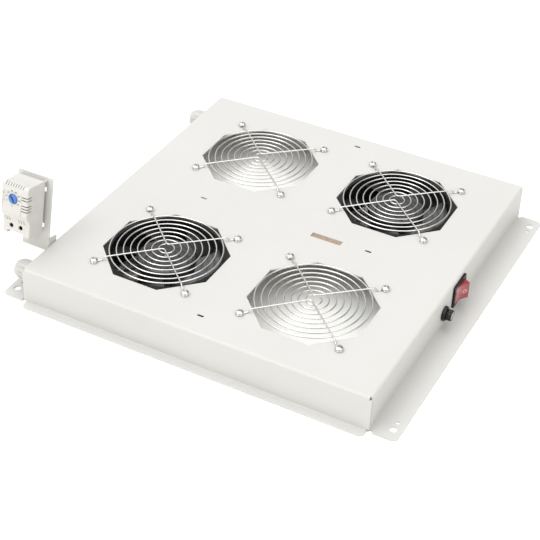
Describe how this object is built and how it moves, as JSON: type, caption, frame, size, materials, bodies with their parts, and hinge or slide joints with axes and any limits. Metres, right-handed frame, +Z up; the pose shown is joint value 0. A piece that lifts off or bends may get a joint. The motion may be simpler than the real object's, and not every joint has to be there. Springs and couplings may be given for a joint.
{
  "type": "rack fan tray",
  "caption": "Shallow folded steel tray with side flanges, guarded octagonal fan openings, axial fans, rocker switch, fuse holder, cable glands and a rail thermostat.",
  "frame": {"origin": "centre of the four large flange holes, on the flange underside", "axes": "+X to the side with the switch and fuse, +Y to the back, +Z up out of the tray's top"},
  "size_m": [0.4472, 0.416, 0.1151],
  "materials": {
    "tray_paint": "fine satin light grey powder coat",
    "bracket_paint": "satin light grey powder coat",
    "guard_nickel": "bright nickel plate",
    "zinc_steel": "bright zinc plate",
    "fan_frame_paint": "satin black coat on die casting",
    "fan_blade_black": "semi gloss moulding",
    "motor_steel": "plain steel",
    "winding_copper": "enamelled copper on laminations",
    "terminal_metal": "tinned brass",
    "black_plastic": "moulded, slight gloss",
    "rocker_red": "translucent red moulding",
    "fuse_glass": "glass tube with plated ends",
    "gland_grey": "moulded nylon",
    "seal_rubber": "soft",
    "thermostat_white": "fine moulded texture",
    "dial_blue": "moulded",
    "grey_plastic": "moulded",
    "bimetal_strip": "rolled strip",
    "board_tan": "pressed fibre board",
    "lead_insulation": "insulated single core wire"
  },
  "bodies": {
    "tray": {"bracket_screw": "zinc_steel", "fan_bearings_front_left": "motor_steel", "fan_bearings_rear_right": "motor_steel", "fan_frame_front_left": "fan_frame_paint", "fan_frame_rear_right": "fan_frame_paint", "fan_lead_front_left": "lead_insulation", "fan_lead_rear_right": "lead_insulation", "fan_stator_front_left": "winding_copper", "fan_stator_rear_right": "winding_copper", "fan_terminals_front_left": "terminal_metal", "fan_terminals_rear_right": "terminal_metal", "fuse_holder_body": "black_plastic", "fuse_holder_nut": "black_plastic", "fuse_lead": "lead_insulation", "fuse_terminals": "terminal_metal", "gland_body_front": "gland_grey", "gland_body_rear": "gland_grey", "gland_locknuts": "gland_grey", "gland_seal_front": "seal_rubber", "gland_seal_rear": "seal_rubber", "guard_front_left": "guard_nickel", "guard_front_right": "guard_nickel", "guard_rear_left": "guard_nickel", "guard_rear_right": "guard_nickel", "guard_screws": "zinc_steel", "hex_nuts": "zinc_steel", "switch_housing": "black_plastic", "switch_lead": "lead_insulation", "switch_terminals": "terminal_metal", "terminal_board": "board_tan", "terminal_strip": "grey_plastic", "terminal_strip_screws": "zinc_steel", "tray_shell": "tray_paint", "weld_studs": "zinc_steel", "wire_saddles": "black_plastic"},
    "fan_front_left": {"impeller_front_left": "fan_blade_black", "rotor_ring_front_left": "motor_steel", "fan_shaft_front_left": "motor_steel"},
    "fan_rear_right": {"impeller_rear_right": "fan_blade_black", "rotor_ring_rear_right": "motor_steel", "fan_shaft_rear_right": "motor_steel"},
    "rocker": {"switch_rocker": "rocker_red"},
    "fuse_carrier": {"fuse_link": "fuse_glass"},
    "fuse_cap": {"fuse_cap": "black_plastic"},
    "gland_nut_front": {"gland_dome_nut_front": "gland_grey"},
    "gland_nut_rear": {"gland_dome_nut_rear": "gland_grey"},
    "bracket": {"thermostat_bracket": "bracket_paint", "mounting_rail": "zinc_steel", "rail_screws": "zinc_steel"},
    "thermostat": {"thermostat_base": "thermostat_white", "thermostat_cover": "thermostat_white", "thermostat_bimetal": "bimetal_strip", "thermostat_snap_switch": "grey_plastic", "thermostat_terminal_block": "grey_plastic", "thermostat_terminal_screws": "zinc_steel"},
    "dial": {"thermostat_dial": "dial_blue", "thermostat_spindle": "grey_plastic"},
    "rail_clip": {"thermostat_rail_clip": "grey_plastic"}
  },
  "joints": [
    {"name": "fan_front_left_spin", "type": "hinge", "parent": "tray", "child": "fan_front_left", "pos_m": [-0.0825, -0.10075, 0.035], "axis": [0, 0, 1], "continuous": true},
    {"name": "fan_rear_right_spin", "type": "hinge", "parent": "tray", "child": "fan_rear_right", "pos_m": [0.0825, 0.09845, 0.035], "axis": [0, 0, 1], "continuous": true},
    {"name": "power_rocker", "type": "hinge", "parent": "tray", "child": "rocker", "pos_m": [0.186, 0.0108, 0.0228], "axis": [0, 0, 1], "range_deg": [0, 40]},
    {"name": "fuse_carrier_pull", "type": "slide", "parent": "tray", "child": "fuse_carrier", "axis": [1, 0, 0], "range_m": [0, 0.03]},
    {"name": "fuse_cap_turn", "type": "hinge", "parent": "fuse_carrier", "child": "fuse_cap", "pos_m": [0.2, -0.0255, 0.0186], "axis": [1, 0, 0], "range_deg": [0, 60]},
    {"name": "gland_nut_front_turn", "type": "hinge", "parent": "tray", "child": "gland_nut_front", "pos_m": [-0.2, -0.1782, 0.0229], "axis": [-1, 0, 0], "range_deg": [0, 720]},
    {"name": "gland_nut_rear_turn", "type": "hinge", "parent": "tray", "child": "gland_nut_rear", "pos_m": [-0.2, 0.1657, 0.0229], "axis": [-1, 0, 0], "range_deg": [0, 720]},
    {"name": "bracket_tilt", "type": "hinge", "parent": "tray", "child": "bracket", "pos_m": [-0.18955, -0.14715, 0.03184], "axis": [1, 0, 0], "range_deg": [-20, 25]},
    {"name": "thermostat_rail_slide", "type": "slide", "parent": "bracket", "child": "thermostat", "axis": [1, 0, 0], "range_m": [-0.004, 0.004]},
    {"name": "temperature_dial", "type": "hinge", "parent": "thermostat", "child": "dial", "pos_m": [-0.21265, -0.17429, 0.10118], "axis": [0, 0.9767, -0.2147], "range_deg": [-150, 150]},
    {"name": "rail_clip_release", "type": "slide", "parent": "thermostat", "child": "rail_clip", "axis": [0, -0.2147, -0.9767], "range_m": [0, 0.003], "stiffness_N_per_m": 800, "springref_m": -0.001}
  ]
}
